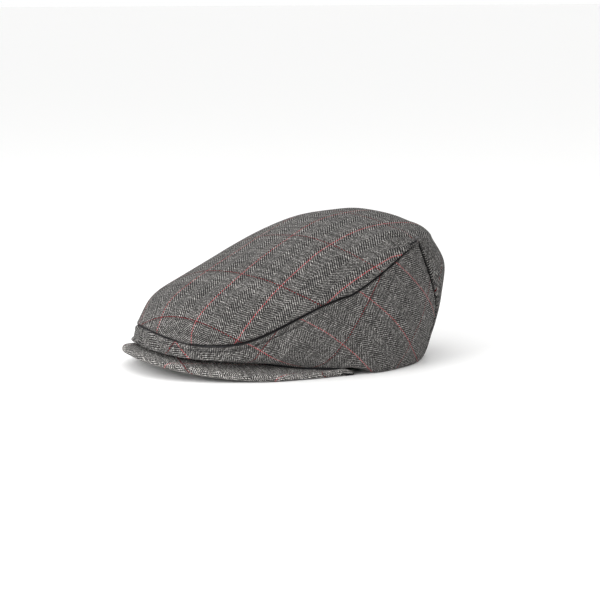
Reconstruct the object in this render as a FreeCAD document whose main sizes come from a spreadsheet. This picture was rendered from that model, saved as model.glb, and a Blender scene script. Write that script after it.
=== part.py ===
import FreeCAD, Part
import Sketcher

import os
from math import acos, cos, degrees, pi, radians, sin, sqrt

# Flat cap in tweed: a three-piece crown over a short stiffened peak, fully lined, with a press stud
# that holds the front of the crown down on the peak.
#
# Frame, in millimetres: the origin is the centre of the head opening on the plane that the cap
# stands on, -Y is the wearer's front, +X the wearer's left and +Z up.
#
# The crown is drawn with hoops, closed curves round the head that are stacked from the hem to the
# seam of the top panel. Angle 0 on a hoop is the front, 90 the left temple and 180 the nape.

Vector = FreeCAD.Vector

DIMENSIONS = [
    # alias, value, what it is
    ("open_half_width", 84.0, "head opening, half its width"),
    ("open_front", 98.0, "head opening, centre to the forehead"),
    ("open_back", 96.0, "head opening, centre to the nape"),
    ("hem_over_peak", 4.0, "hem line above the peak, at the forehead"),
    ("hem_over_corner", 0.8, "hem line above the peak's corners, at the temples"),
    ("hem_flat_from", 30.0, "the hem lies on the table from here to the nape"),
    ("fold_half_width", 88.5, "lower fold of the crown, half its width"),
    ("fold_front", 137.0, "lower fold of the crown at the front"),
    ("fold_back", 99.0, "lower fold of the crown at the back"),
    ("bulge_half_width", 92.0, "widest hoop of the crown, half its width"),
    ("bulge_front", 138.0, "widest hoop of the crown at the front"),
    ("bulge_back", 107.5, "widest hoop of the crown at the back"),
    ("seam_half_width", 89.0, "top seam, half its width"),
    ("seam_front", 136.0, "top seam at the front"),
    ("seam_back", 97.0, "level of the top seam's corners, at the back"),
    ("front_squareness", 0.84, "1 is an elliptical front, less is squarer"),
    ("cheek_angle", 54.0, "where the front's outline turns into the side"),
    ("corner_angle", 135.0, "corner of the side panel, where the top seam ends"),
    ("waist_angle", 147.5, "back seam at the widest hoop"),
    ("foot_angle", 160.5, "back seam at the hem"),
    ("tweed_thickness", 1.3, "shell cloth"),
    ("canvas_thickness", 0.4, "fused interlining"),
    ("satin_thickness", 0.4, "lining"),
    ("ply_gap", 0.3, "room between two plies"),
    ("seam_gap", 0.4, "room between two panels at a seam"),
    ("peak_front", 148.0, "peak's edge at the front"),
    ("peak_half_width", 91.5, "peak's edge, half its width"),
    ("peak_arch_radius", 300.0, "arch of the peak across the forehead"),
    ("peak_crest", 17.5, "top of the peak on the centre line"),
    ("peak_end_angle", 87.0, "half the peak's spread round the head opening"),
    ("peak_taper_angle", 68.0, "from here to its corners the peak narrows"),
    ("peak_foot", 0.6, "underside of the peak's corners above the table"),
    ("peak_root_gap", 0.5, "from the hem line to the peak's inner edge"),
    ("board_thickness", 1.6, "plastic stiffener of the peak"),
    ("felt_thickness", 1.0, "felt between the board and the upper cover"),
    ("edge_turn", 3.6, "width of the upper cover's rim"),
    ("slip", 0.15, "room between the peak's plies"),
    ("band_height", 32.0, "sweatband above the hem"),
    ("band_thickness", 1.2, "sweatband with its turned edge"),
    ("band_inset", 3.2, "hem line to the sweatband"),
    ("strip_length", 24.0, "ribbon over the sweatband's joint at the nape"),
    ("strip_thickness", 0.5, "ribbon over the sweatband's joint"),
    ("stud_place", 125.0, "press stud, ahead of the head's centre"),
    ("socket_radius", 5.0, "press stud's socket, outside"),
    ("socket_height", 1.6, "press stud's socket"),
    ("socket_bore", 2.4, "radius of the socket's hole"),
    ("ball_radius", 1.9, "ball of the press stud"),
    ("ball_height", 1.2, "ball of the press stud"),
    ("base_radius", 4.5, "base of the press stud"),
    ("base_height", 0.5, "base of the press stud"),
    ("plate_radius", 4.0, "plate clenched behind each half of the press stud"),
    ("plate_height", 0.4, "plate clenched behind each half of the press stud"),
    ("label_width", 34.0, "blank size label"),
    ("label_height", 16.0, "blank size label"),
    ("label_thickness", 0.4, "blank size label"),
]

HOOP_HEIGHTS = {
    # front, cheek, temple, corner of the side panel, nape
    "fold": (20.2, 15.6, 20.0, 15.0, 12.5),
    "bulge": (23.0, 19.0, 37.5, 47.0, 49.0),
    "seam": (33.5, 28.5, 62.5, 98.5, 100.5),
}

CENTRE_LINE = [
    # y and height of the top panel on the centre line, between its front seam and its highest part
    (-121.0, 56.0),
    (-95.0, 71.0),
    (-48.0, 93.5),
    (0.0, 113.0),
    (42.0, 117.6),
    (78.0, 111.5),
]
BACK_SHOULDER = (112.5, 78.0)

FRONT_EDGE_ANGLE = 30.0  # the top panel's front edge spans this much each side of the centre line
FRONT_EDGE_FADE = 0.35  # share of the top panel over which that edge fades into the cross curves
CROSS_CURVE_ANGLE = 87.0  # part of an ellipse's quadrant that each half of a cross curve uses
SIDE_COLUMNS = 33
SIDE_ROWS = 15
TOP_COLUMNS = 17
TOP_ROWS = 15
BACK_ROWS = 9

doc = FreeCAD.newDocument("flat_cap")
sheet = doc.addObject("Spreadsheet::Sheet", "Dimensions")
for row, (alias, value, meaning) in enumerate(DIMENSIONS, start=1):
    sheet.set(f"A{row}", meaning)
    sheet.set(f"B{row}", str(value))
    sheet.setAlias(f"B{row}", alias)
doc.recompute()


def size(alias):
    return float(sheet.get(alias))


# ---- curves and cloth ----------------------------------------------------------------------------


def smooth(points, count):
    """count points at even distances along the smooth curve through the given ones."""
    first = points[0] * 2 - points[1]
    last = points[-1] * 2 - points[-2]
    guide = [first, *points, last]
    dense = []
    steps = 24
    for k in range(len(points) - 1):
        a, b, c, d = guide[k : k + 4]
        for n in range(steps):
            t = n / steps
            along = (c - a) * t + (a * 2 - b * 5 + c * 4 - d) * t**2 + (b * 3 - a - c * 3 + d) * t**3
            dense.append(b + along * 0.5)
    dense.append(points[-1])
    return evenly(dense, count)


def evenly(line, count):
    """count points at even distances along a polyline."""
    lengths = [0.0]
    for a, b in zip(line, line[1:]):
        lengths.append(lengths[-1] + (b - a).Length)
    out = []
    k = 0
    for n in range(count):
        target = lengths[-1] * n / (count - 1)
        while k < len(line) - 2 and lengths[k + 1] < target:
            k += 1
        share = (target - lengths[k]) / max(lengths[k + 1] - lengths[k], 1e-9)
        out.append(line[k] + (line[k + 1] - line[k]) * share)
    return out


def drawn_in(line, gap):
    """The line with both of its ends shortened by the gap."""
    first = line[0] + (line[1] - line[0]).normalize() * gap
    last = line[-1] + (line[-2] - line[-1]).normalize() * gap
    return [first, *line[1:-1], last]


def offset(grid, distance):
    """The grid moved towards the inside of the cap along its normals."""
    moved = []
    for i, line in enumerate(grid):
        below, above = grid[max(i - 1, 0)], grid[min(i + 1, len(grid) - 1)]
        out = []
        for j, point in enumerate(line):
            along = line[min(j + 1, len(line) - 1)] - line[max(j - 1, 0)]
            normal = along.cross(above[j] - below[j])
            out.append(point - normal.normalize() * distance)
        moved.append(out)
    return moved


def ply(outer, inner):
    """A closed solid between two grids, such as the two faces of a piece of cloth."""
    skins = []
    borders = []
    for grid in (outer, inner):
        skin = Part.BSplineSurface()
        skin.interpolate(grid)
        u0, u1, v0, v1 = skin.bounds()
        skins.append(skin.toShape())
        borders.append([skin.uIso(u0), skin.uIso(u1), skin.vIso(v0), skin.vIso(v1)])
    for a, b in zip(*borders):
        skins.append(Part.makeRuledSurface(a.toShape(), b.toShape(), 1))
    shell = Part.makeShell(skins)
    shell.sewShape()
    solid = Part.Solid(shell)
    if solid.Volume < 0:
        solid.reverse()
    return solid


def cloth(grid, thickness, below=0.0):
    """A piece of cloth of that thickness, that far inside the grid."""
    return ply(offset(grid, below) if below else grid, offset(grid, below + thickness))


def mirrored(grid):
    """The same grid on the wearer's right, running the other way so that it still faces outwards."""
    return [[Vector(-p.x, p.y, p.z) for p in reversed(line)] for line in grid]


def add(label, shape):
    feature = doc.addObject("Part::Feature", label)
    feature.Label = label
    feature.Shape = shape
    subparts.append(feature)
    return feature


# ---- hoops ---------------------------------------------------------------------------------------


def outline(half_width, front, back, squareness, angle):
    """A point of an egg-shaped outline, seen from above."""
    s, c = sin(angle), cos(angle)
    if c <= 0:
        return half_width * s, -back * c
    side = 1 if s >= 0 else -1
    return half_width * side * abs(s) ** squareness, -front * c**squareness


def by_angle(values, angle):
    """A height that passes smoothly through its values at the front, the cheek, the temple, the
    corner of the side panel and the nape."""
    stations = [0.0, radians(size("cheek_angle")), pi / 2, radians(size("corner_angle")), pi]
    at = min(abs(angle), pi)
    k = max(i for i in range(4) if stations[i] <= at)
    slopes = [0.0]
    for i in (1, 2, 3):
        slopes.append((values[i + 1] - values[i - 1]) / (stations[i + 1] - stations[i - 1]))
    slopes.append(0.0)
    span = stations[k + 1] - stations[k]
    t = (at - stations[k]) / span
    start = values[k] * (1 + 2 * t) + slopes[k] * span * t
    end = values[k + 1] * (3 - 2 * t) - slopes[k + 1] * span * (1 - t)
    return start * (1 - t) ** 2 + end * t * t


def peak_top(x):
    """Height of the peak's upper face, an arch across the forehead that is level from back to front."""
    radius = size("peak_arch_radius")
    return size("peak_crest") - radius + sqrt(radius**2 - x**2)


def hem_height(y):
    """The hem follows the peak's arch round the forehead and comes down to the table behind the
    temples."""
    half_width, corner = size("open_half_width"), size("hem_over_corner")
    if y >= 0:
        share = min(y / size("hem_flat_from"), 1.0)
        return (peak_top(half_width) + corner) * (1 + cos(pi * share)) / 2
    forward = min((y / size("open_front")) ** 2, 1.0)
    over = corner + (size("hem_over_peak") - corner) * forward
    return peak_top(half_width * sqrt(1 - forward)) + over


def hoop(name, angle, inset=0.0):
    if name == "hem":
        x, y = outline(
            size("open_half_width") - inset, size("open_front") - inset, size("open_back") - inset, 1.0, angle
        )
        return Vector(x, y, hem_height(y))
    x, y = outline(
        size(name + "_half_width") - inset,
        size(name + "_front") - inset,
        size(name + "_back") - inset,
        size("front_squareness"),
        angle,
    )
    return Vector(x, y, by_angle(HOOP_HEIGHTS[name], angle))


def back_angles():
    """Angles of the back seam at the hem, the fold, the widest hoop and the top seam."""
    foot, waist = radians(size("foot_angle")), radians(size("waist_angle"))
    return [foot, foot + (waist - foot) * 0.45, waist, radians(size("corner_angle"))]


HOOPS = ["hem", "fold", "bulge", "seam"]
subparts = []

# ---- crown ---------------------------------------------------------------------------------------


def side_grid(first=0, inset=0.0, lift=0.0, rows=SIDE_ROWS):
    """Left side of the crown: rows run from the front to the back seam, the lowest one first. It
    starts at the hoop of that number."""
    half_gap = size("seam_gap") / 2
    start = half_gap / size("seam_front")
    columns = []
    for j in range(SIDE_COLUMNS):
        share = start + (1 - 2 * start) * j / (SIDE_COLUMNS - 1)
        hoops = list(zip(HOOPS, back_angles()))[first:]
        column = smooth([hoop(name, share * end, inset) for name, end in hoops], rows)
        column[-1] += (column[-2] - column[-1]).normalize() * half_gap
        columns.append([point + Vector(0, 0, lift) for point in column])
    return [[column[i] for column in columns] for i in range(rows)]


def centre_line():
    """The crown's outline on the centre line, from the front seam over the top to the nape."""
    points = [hoop("seam", 0.0)]
    points += [Vector(0, y, z) for y, z in CENTRE_LINE]
    points += [hoop("seam", pi), Vector(0, *BACK_SHOULDER)]
    points += [hoop(name, pi) for name in ("bulge", "fold", "hem")]
    dense = smooth(points, 400)
    level = size("seam_back")
    meet = max(k for k, p in enumerate(dense) if p.z > HOOP_HEIGHTS["seam"][4] and p.y < level + 1)
    return evenly(dense[: meet + 1], TOP_ROWS), evenly(dense[meet:], BACK_ROWS)


def top_grid():
    """Top panel: its rows run across it, from the front edge back to the corners and then down the
    back to the nape."""
    over, down = centre_line()
    start, corner = radians(FRONT_EDGE_ANGLE), radians(size("corner_angle"))
    seam = evenly([hoop("seam", start + (corner - start) * k / 90) for k in range(91)], TOP_ROWS)
    back_seam = smooth([hoop(name, angle) for name, angle in zip(HOOPS, back_angles())][::-1], BACK_ROWS)
    middles = over + down[1:]
    ends = seam + back_seam[1:]
    full = radians(CROSS_CURVE_ANGLE)

    def cross(middle, end, across):
        turn = full * across
        drop = (1 - cos(turn)) / (1 - cos(full))
        return Vector(
            end.x * sin(turn) / sin(full),
            middle.y + (end.y - middle.y) * drop,
            middle.z + (end.z - middle.z) * drop,
        )

    grid = []
    for i, (middle, end) in enumerate(zip(middles, ends)):
        fade = max(0.0, 1 - i / (TOP_ROWS - 1) / FRONT_EDGE_FADE) ** 2
        line = []
        for j in range(TOP_COLUMNS):
            across = 1 - 2 * j / (TOP_COLUMNS - 1)
            shift = hoop("seam", start * across) - cross(middles[0], ends[0], across)
            line.append(cross(middle, end, across) + shift * fade)
        grid.append(drawn_in(line, size("seam_gap") / 2))
    return grid[::-1]


tweed, canvas, satin = size("tweed_thickness"), size("canvas_thickness"), size("satin_thickness")
ply_gap = size("ply_gap")

left_side = side_grid()
top = top_grid()
add("top_panel", cloth(top, tweed))
add("left_side_panel", cloth(left_side, tweed))
add("right_side_panel", cloth(mirrored(left_side), tweed))

# fused canvas keeps the panels smooth; at the sides it stays above the fold
canvas_depth = tweed + ply_gap


def canvas_ply(grid, first_row, end_row):
    depths = (canvas_depth, canvas_depth + canvas)
    faces = [[line[1:-1] for line in offset(grid, depth)[first_row:end_row]] for depth in depths]
    return ply(*faces)


add("top_interlining", canvas_ply(top, 1, -3))
canvas_side = [line[5:] for line in left_side]
add("left_interlining", canvas_ply(canvas_side, 9, -1))
add("right_interlining", canvas_ply(mirrored(canvas_side), 9, -1))

# satin lining, cut like the shell and a little smaller
lining_depth = canvas_depth + canvas + 2 * ply_gap
lining_side = side_grid(first=1, inset=lining_depth + 1.8, lift=2.5, rows=11)[:-1]
lining_top = [offset(top, depth)[2:-1] for depth in (lining_depth, lining_depth + satin)]
add("top_lining", ply(*lining_top))
add("left_lining", cloth(lining_side, satin))
add("right_lining", cloth(mirrored(lining_side), satin))

# ---- bodies with sketches ------------------------------------------------------------------------


def new_body(label):
    body = doc.addObject("PartDesign::Body", label)
    body.Label = label
    subparts.append(body)
    return body


def new_sketch(body, plane, name):
    sketch = body.newObject("Sketcher::SketchObject", name)
    origin = next(f for f in body.Origin.OriginFeatures if f.Role == plane)
    sketch.AttachmentSupport = (origin, [""])
    sketch.MapMode = "FlatFace"
    sketch.Visibility = False
    return sketch


def spline(points):
    curve = Part.BSplineCurve()
    curve.interpolate([Vector(x, y, 0) for x, y in points])
    return curve


def polyline(sketch, points):
    for a, b in zip(points, points[1:]):
        sketch.addGeometry(Part.LineSegment(Vector(*a, 0), Vector(*b, 0)), False)


def pad(body, sketch, name, length):
    feature = body.newObject("PartDesign::Pad", name)
    feature.Profile = sketch
    feature.setExpression("Length", length)
    return feature


def cut_through(body, sketch, name):
    """Removes the sketch's areas over the body's whole depth, to both sides of the sketch."""
    feature = body.newObject("PartDesign::Pocket", name)
    feature.Profile = sketch
    feature.Type = "Length"
    feature.SideType = "Symmetric"
    feature.Length = 900.0
    return feature


def egg(inset, angle_from, angle_to, count):
    points = []
    for k in range(count + 1):
        angle = angle_from + (angle_to - angle_from) * k / count
        points.append(
            outline(
                size("open_half_width") - inset, size("open_front") - inset, size("open_back") - inset, 1.0, angle
            )
        )
    return points


def standing_band(label, inset, thickness, low, high, spread):
    """A band standing on edge round the head opening: spread is how far it runs, in degrees, to each
    side of the nape. Its lower and upper edges follow the hem, low and high above it."""
    body = new_body(label)
    plan = new_sketch(body, "XY_Plane", label + "_plan")
    start, end = pi - radians(spread), pi + radians(spread)
    outer = egg(inset, start, end, 40)
    inner = egg(inset + thickness, start, end, 40)
    plan.addGeometry(spline(outer), False)
    plan.addGeometry(spline(inner), False)
    polyline(plan, [outer[0], inner[0]])
    polyline(plan, [outer[-1], inner[-1]])
    tall = hem_height(-size("open_front")) + high
    pad(body, plan, label + "_pad", f"Dimensions.peak_crest + Dimensions.hem_over_peak + {high}")
    edges = new_sketch(body, "YZ_Plane", label + "_edges")
    flat = size("hem_flat_from")
    front = -size("open_front")
    rear = size("open_back") + 10
    for level, beyond in ((low, -10.0), (high, tall + 10)):
        rise = []
        for k in range(25):
            y = front + (0.9 * flat - front) * k / 24
            rise.append((y, hem_height(y) + level))
        behind = [(rear, level), (rear, beyond)] if level > 0 else [(rise[-1][0], beyond)]
        edges.addGeometry(spline(rise), False)
        polyline(edges, [rise[-1], *behind, (front - 5, beyond), (front - 5, rise[0][1]), rise[0]])
    cut_through(body, edges, label + "_trim")
    return body


sweat_inset = size("band_inset")
sweat_thickness = size("band_thickness")
standing_band("sweatband", sweat_inset, sweat_thickness, 0.0, size("band_height"), 179.7)
strip_inset = sweat_inset + sweat_thickness + 0.1
strip_spread = degrees(size("strip_length") / 2 / size("open_back"))
standing_band(
    "nape_strip", strip_inset, size("strip_thickness"), 1.0, size("band_height") - 1, strip_spread
)
standing_band("stay_tape", 2.0, 0.4, 1.5, 9.5, 120.0)

# ---- peak ----------------------------------------------------------------------------------------

board, felt, slip = size("board_thickness"), size("felt_thickness"), size("slip")
felt_depth = tweed + size("plate_height") + 0.1
board_depth = felt_depth + felt + slip
under_depth = board_depth + board + slip
peak_thickness = under_depth + tweed


def peak_plan(share, angle, inward=0.0):
    """A point of the peak seen from above: share is 0 at the head opening and 1 at the edge."""
    gap = size("peak_root_gap")
    rx, ry = outline(size("open_half_width") + gap, size("open_front") + gap, 1.0, 1.0, angle)
    ex, ey = outline(
        size("peak_half_width") - inward,
        size("peak_front") - inward,
        1.0,
        size("front_squareness"),
        angle,
    )
    taper, end = radians(size("peak_taper_angle")), radians(size("peak_end_angle") + 3)
    if abs(angle) > taper:
        share *= 0.5 + 0.5 * cos(pi * (abs(angle) - taper) / (end - taper))
    return rx + (ex - rx) * share, ry + (ey - ry) * share


def peak_ply(label, depth, thickness, inward, short_of_end, root_share=0.0):
    """A layer of the peak: a crescent, arched across the forehead, that far under the upper face."""
    body = new_body(label)
    plan = new_sketch(body, "XY_Plane", label + "_crescent")
    plan.AttachmentOffset = FreeCAD.Placement(Vector(0, 0, size("peak_foot")), FreeCAD.Rotation())
    end = radians(size("peak_end_angle") - short_of_end)
    angles = [-end + 2 * end * k / 24 for k in range(25)]
    edge = [peak_plan(1.0, angle, inward) for angle in angles]
    root = [peak_plan(root_share, angle) for angle in angles]
    plan.addGeometry(spline(edge), False)
    plan.addGeometry(spline(root), False)
    polyline(plan, [edge[0], root[0]])
    polyline(plan, [edge[-1], root[-1]])
    pad(body, plan, label + "_pad", "Dimensions.peak_crest + 1")
    arch = new_sketch(body, "XZ_Plane", label + "_arch")
    centre = Vector(0, size("peak_crest") - size("peak_arch_radius"), 0)
    reach = 120.0
    for radius, beyond in ((-depth, 60.0), (-depth - thickness, -80.0)):
        radius += size("peak_arch_radius")
        swing = acos(reach / radius)
        circle = Part.Circle(centre, Vector(0, 0, 1), radius)
        arch.addGeometry(Part.ArcOfCircle(circle, swing, pi - swing), False)
        z = centre.y + radius * sin(swing)
        polyline(arch, [(reach, z), (reach, beyond), (-reach, beyond), (-reach, z)])
    cut_through(body, arch, label + "_trim")
    return body


turn = size("edge_turn")
peak_ply("peak_felt", felt_depth, felt, turn + 0.4, 7.0)
peak_ply("peak_board", board_depth, board, turn + 0.4, 7.0)
peak_ply("peak_under_cover", under_depth, tweed, turn + 0.2, 6.0)


# the upper cover runs over the peak's edge, where its allowance is folded in to a firm rim
cover_block = peak_ply("peak_cover_block", 0.0, peak_thickness, 0.0, 0.0)
cover_hollow = peak_ply("peak_cover_hollow", tweed, peak_thickness, turn - 0.2, 4.0, root_share=-0.3)
peak_cover = doc.addObject("Part::Cut", "peak_top_cover")
peak_cover.Label = "peak_top_cover"
peak_cover.Base = cover_block
peak_cover.Tool = cover_hollow
subparts.append(peak_cover)
subparts.remove(cover_block)
subparts.remove(cover_hollow)

# ---- press stud ----------------------------------------------------------------------------------


def worked_out(text):
    """The number that a sum of Dimensions cells and plain numbers stands for."""
    total = 0.0
    for term in text.replace("- ", "+ -").split("+ "):
        term = term.strip()
        sign = -1.0 if term.startswith("-") else 1.0
        term = term.lstrip("-")
        total += sign * (size(term.split(".")[1]) if term.startswith("Dimensions.") else float(term))
    return total


def turned(label, profile, place):
    """A body turned about its own Z axis. profile lists the radius and height of its corners."""
    body = new_body(label)
    sketch = new_sketch(body, "XZ_Plane", label + "_profile")
    corners = [(worked_out(radius), worked_out(height)) for radius, height in profile]
    polyline(sketch, corners + corners[:1])
    count = len(corners)
    for k in range(count):
        sketch.addConstraint(Sketcher.Constraint("Coincident", k, 2, (k + 1) % count, 1))
    for k, texts in enumerate(profile):
        for kind, text, value in zip(("DistanceX", "DistanceY"), texts, corners[k]):
            index = sketch.addConstraint(Sketcher.Constraint(kind, -1, 1, k, 1, value))
            name = f"{kind[-1].lower()}_of_corner_{k}"
            sketch.renameConstraint(index, name)
            sketch.setExpression(f"Constraints.{name}", text)
    revolution = body.newObject("PartDesign::Revolution", label + "_turned")
    revolution.Profile = sketch
    revolution.ReferenceAxis = (sketch, ["V_Axis"])
    revolution.Angle = 360.0
    body.Placement = FreeCAD.Placement(place, FreeCAD.Rotation())
    return body


def plate(label, height):
    radius = "Dimensions.plate_radius"
    return turned(
        label,
        [
            ("0", "0"),
            (radius, "0"),
            (radius + " - 0.2", "Dimensions.plate_height"),
            ("0", "Dimensions.plate_height"),
        ],
        Vector(0, -size("stud_place"), height),
    )


def crown_underside():
    """Height of the crown's underside above the press stud."""
    column = [line[0] for line in left_side]
    reach = size("stud_place")
    low = max((p for p in column[:9] if -p.y <= reach), key=lambda p: -p.y)
    high = min((p for p in column[:9] if -p.y >= reach), key=lambda p: -p.y)
    return low.z + (high.z - low.z) * (reach + low.y) / (low.y - high.y)


base_height, base_radius = "Dimensions.base_height", "Dimensions.base_radius"
ball_height, ball_radius = "Dimensions.ball_height", "Dimensions.ball_radius"
socket_height, socket_radius = "Dimensions.socket_height", "Dimensions.socket_radius"
socket_bore = "Dimensions.socket_bore"
stud_foot = peak_top(0) + 0.05
underside = crown_underside()
turned(
    "snap_stud",
    [
        ("0", "0"),
        (base_radius, "0"),
        (base_radius, base_height),
        (ball_radius + " - 0.3", base_height),
        (ball_radius + " - 0.3", base_height + " + 0.3"),
        (ball_radius, base_height + " + 0.7"),
        (ball_radius + " - 0.5", base_height + " + " + ball_height),
        ("0", base_height + " + " + ball_height),
    ],
    Vector(0, -size("stud_place"), stud_foot),
)
turned(
    "snap_socket",
    [
        (socket_bore, "0"),
        (socket_radius + " - 0.4", "0"),
        (socket_radius, "0.4"),
        (socket_radius, socket_height),
        ("0", socket_height),
        ("0", socket_height + " - 0.2"),
        (socket_bore, socket_height + " - 0.2"),
    ],
    Vector(0, -size("stud_place"), underside - size("socket_height") - 0.25),
)
plate("snap_socket_plate", underside + tweed + 0.4)
plate("snap_stud_plate", peak_top(0) - tweed - size("plate_height") - 0.05)

# ---- blank label, sewn to the lining of the top ----------------------------------------------------

label_patch = doc.addObject("Part::Box", "size_label")
label_patch.Label = "size_label"
subparts.append(label_patch)
label_patch.setExpression("Length", "Dimensions.label_width")
label_patch.setExpression("Width", "Dimensions.label_thickness")
label_patch.setExpression("Height", "Dimensions.label_height")
label_back = size("open_back") - strip_inset - size("strip_thickness") - 0.1
sag = size("open_back") * (1 - sqrt(1 - (size("label_width") / 2 / size("open_half_width")) ** 2))
label_patch.Placement = FreeCAD.Placement(
    Vector(-size("label_width") / 2, label_back - sag - size("label_thickness"), 9.0),
    FreeCAD.Rotation(),
)

# ---- check and write -------------------------------------------------------------------------------

doc.recompute()
for thing in doc.Objects:
    if "Invalid" in thing.State or "Error" in thing.State:
        raise RuntimeError(f"{thing.Name} failed: {thing.State}")
os.makedirs("parts", exist_ok=True)
for thing in subparts:
    shape = thing.Shape
    if shape.isNull() or not shape.isValid() or shape.Volume <= 0:
        raise RuntimeError(f"{thing.Label} is not a valid solid")
    shape.exportStep(os.path.join("parts", thing.Label + ".step"))
    box = shape.BoundBox
    print(
        f"{thing.Label:18s} {shape.Volume:9.0f} mm3"
        f"  x {box.XMin:6.1f} {box.XMax:6.1f}  y {box.YMin:6.1f} {box.YMax:6.1f}"
        f"  z {box.ZMin:6.1f} {box.ZMax:6.1f}"
    )
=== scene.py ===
# %% [markdown]
# # A tweed flat cap
# The cap is a soft crown of three cloth panels over a short stiff peak, lined in satin, with a
# sweatband inside. The engineering model gives the sizes and the two bodies: `head_ring`, which is
# the sweatband and the peak, and `crown`, which lifts at the front when its press stud is undone.
# This lesson dresses that frame in cloth.

# %% Load the frame
from math import cos, pi, radians, sin

import bpy
import numpy as np
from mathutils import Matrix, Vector


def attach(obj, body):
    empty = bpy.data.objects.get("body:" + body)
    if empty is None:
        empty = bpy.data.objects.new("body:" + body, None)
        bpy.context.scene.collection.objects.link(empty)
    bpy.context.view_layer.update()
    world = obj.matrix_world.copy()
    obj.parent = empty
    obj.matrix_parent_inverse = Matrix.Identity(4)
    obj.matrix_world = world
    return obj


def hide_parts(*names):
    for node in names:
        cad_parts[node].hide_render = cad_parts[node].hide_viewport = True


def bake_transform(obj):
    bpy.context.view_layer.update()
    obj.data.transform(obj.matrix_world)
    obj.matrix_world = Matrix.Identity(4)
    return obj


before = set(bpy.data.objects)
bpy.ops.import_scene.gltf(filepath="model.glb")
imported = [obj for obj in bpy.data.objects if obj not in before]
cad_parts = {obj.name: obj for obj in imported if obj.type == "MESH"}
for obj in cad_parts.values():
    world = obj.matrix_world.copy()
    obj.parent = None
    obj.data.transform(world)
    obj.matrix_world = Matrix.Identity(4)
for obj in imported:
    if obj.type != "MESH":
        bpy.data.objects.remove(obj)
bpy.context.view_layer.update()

# %% [markdown]
# ## Hoops
# The crown is drawn with closed curves round the head, as a hatter's block would be: the hem, the
# fold, the widest hoop and the seam of the top. They are kept in millimetres, with angle 0 at the
# front, 90 degrees at the left temple and 180 at the nape. Every cloth surface comes from them.

# %% Outlines and heights of the hoops
HEM = (84.0, 98.0, 96.0)  # half width, front, back
FOLD = (88.5, 137.0, 99.0)
BULGE = (92.0, 138.0, 107.5)
SEAM = (89.0, 136.0, 97.0)
FRONT_SQUARENESS = 0.84
CHEEK, CORNER, WAIST, FOOT = (radians(a) for a in (54.0, 135.0, 147.5, 160.5))
STATIONS = np.array([0.0, CHEEK, pi / 2, CORNER, pi])
FOLD_HEIGHTS = (20.2, 15.6, 20.0, 15.0, 12.5)
BULGE_HEIGHTS = (23.0, 19.0, 37.5, 47.0, 49.0)
SEAM_HEIGHTS = (33.5, 28.5, 62.5, 98.5, 100.5)
PEAK_CREST, PEAK_ARCH = 17.5, 300.0  # height of the peak's middle, radius of its arch
HEM_GAP, HEM_RISE = 0.8, 3.2  # how far the hem clears the peak, and how much more in front
HEM_FALL = 30.0  # the hem is down on the table this far behind the temples


def outline(hoop, squareness, angle):
    """Points of an egg-shaped outline, seen from above."""
    half_width, front, back = hoop
    s, c = np.sin(angle), np.cos(angle)
    ahead = c > 0
    x = half_width * np.sign(s) * np.where(ahead, np.abs(s) ** squareness, np.abs(s))
    y = np.where(ahead, -front * np.abs(c) ** squareness, back * np.abs(c))
    return x, y


def by_angle(values, angle):
    """A height that passes smoothly through its values at the stations."""
    values = np.array(values)
    at = np.minimum(np.abs(angle), pi)
    slopes = np.zeros(5)
    slopes[1:4] = (values[2:] - values[:-2]) / (STATIONS[2:] - STATIONS[:-2])
    k = np.clip(np.searchsorted(STATIONS, at, side="right") - 1, 0, 3)
    span = STATIONS[k + 1] - STATIONS[k]
    t = (at - STATIONS[k]) / span
    first = values[k] * (1 + 2 * t) + slopes[k] * span * t
    last = values[k + 1] * (3 - 2 * t) - slopes[k + 1] * span * (1 - t)
    return first * (1 - t) ** 2 + last * t * t


def peak_top(x):
    """Height of the peak's upper face."""
    return PEAK_CREST - PEAK_ARCH + np.sqrt(PEAK_ARCH**2 - np.asarray(x, float) ** 2)


def hem_height(y):
    """The hem arches over the peak and comes down to the table behind the temples."""
    y = np.asarray(y, float)
    forward = np.clip((np.minimum(y, 0) / HEM[1]) ** 2, 0, 1)
    ahead = peak_top(HEM[0] * np.sqrt(1 - forward)) + HEM_GAP + HEM_RISE * forward
    fall = (1 + np.cos(pi * np.clip(y / HEM_FALL, 0, 1))) / 2
    return np.where(y < 0, ahead, (peak_top(HEM[0]) + HEM_GAP) * fall)


def hem(angle, inset=0.0):
    x, y = outline([side - inset for side in HEM], 1.0, angle)
    return np.stack([x, y, hem_height(y)], -1)


def upper_hoop(hoop, heights, angle, inset=0.0):
    x, y = outline([side - inset for side in hoop], FRONT_SQUARENESS, angle)
    return np.stack([x, y, by_angle(heights, angle)], -1)


def fold_hoop(angle, inset=0.0):
    return upper_hoop(FOLD, FOLD_HEIGHTS, angle, inset)


def bulge_hoop(angle, inset=0.0):
    return upper_hoop(BULGE, BULGE_HEIGHTS, angle, inset)


def seam_hoop(angle, inset=0.0):
    return upper_hoop(SEAM, SEAM_HEIGHTS, angle, inset)


HOOPS = (hem, fold_hoop, bulge_hoop, seam_hoop)
FOLD_SHARE = 0.45  # at the fold, the back seam is this far on its way from the foot to the waist
BACK_ANGLES = [FOOT, FOOT + (WAIST - FOOT) * FOLD_SHARE, WAIST, CORNER]
print("top seam's corner", seam_hoop(np.array([CORNER]))[0].round(1))

# %% [markdown]
# ## Smooth curves
# Cloth has no corners of its own, so each line on it is a Catmull-Rom curve through a few points,
# measured out by its length. Points are crowded towards the edges, where a seam needs them.

# %% Curves measured by length


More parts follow.
